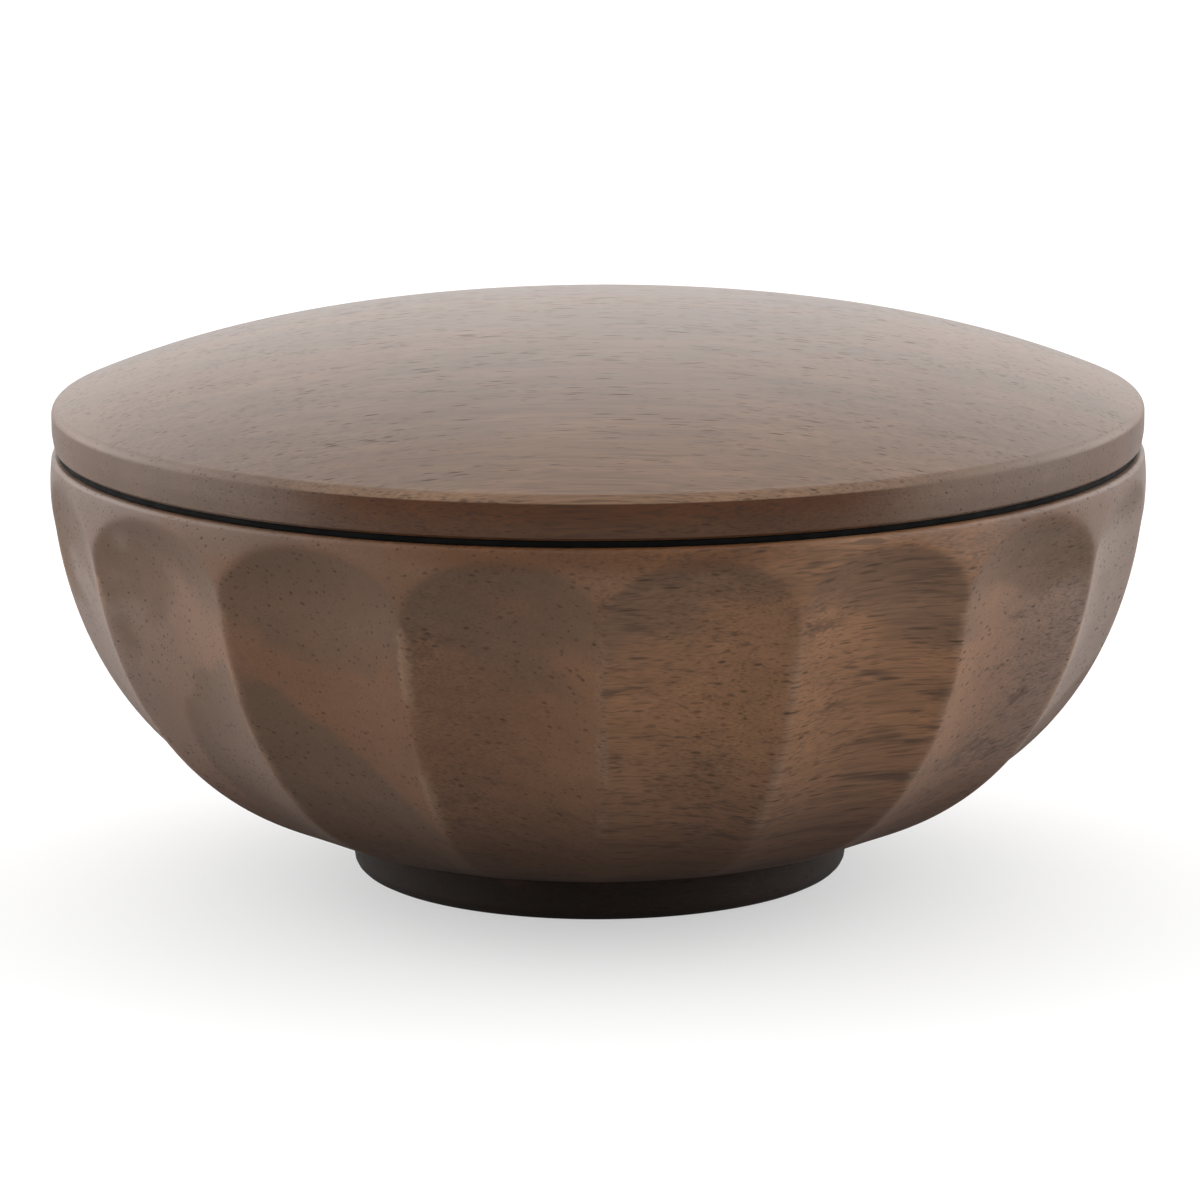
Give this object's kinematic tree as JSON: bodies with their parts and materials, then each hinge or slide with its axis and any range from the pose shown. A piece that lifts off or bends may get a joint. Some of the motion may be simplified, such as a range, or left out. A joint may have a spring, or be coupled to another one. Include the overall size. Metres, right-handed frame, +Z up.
{
  "type": "lidded storage bowl",
  "caption": "Round dark wooden storage bowl with carved flutes, a low foot ring and a domed lift-off lid on a soft seal ring.",
  "frame": {"origin": "centre of the circle that the foot ring stands on, at table height", "axes": "+Z up through the middle of the lid; -Y is the side that the picture shows, with +X to its right"},
  "size_m": [0.1999, 0.1998, 0.1033],
  "materials": {
    "bowl_wood": "dark brown stained open-pored hardwood, satin, grain lying across",
    "lid_wood": "dark brown stained open-pored hardwood, satin, slightly smoother than the bowl",
    "seal_rubber": "matt near-black silicone"
  },
  "bodies": {
    "bowl": {"bowl": "bowl_wood"},
    "seal": {"seal_ring": "seal_rubber"},
    "lid": {"lid": "lid_wood"}
  },
  "joints": [
    {"name": "lid_lift", "type": "slide", "parent": "bowl", "child": "seal", "axis": [0, 0, 1], "range_m": [0, 0.12]},
    {"name": "lid_turn", "type": "hinge", "parent": "seal", "child": "lid", "pos_m": [0, 0, 0.0797], "axis": [0, 0, 1], "continuous": true}
  ]
}
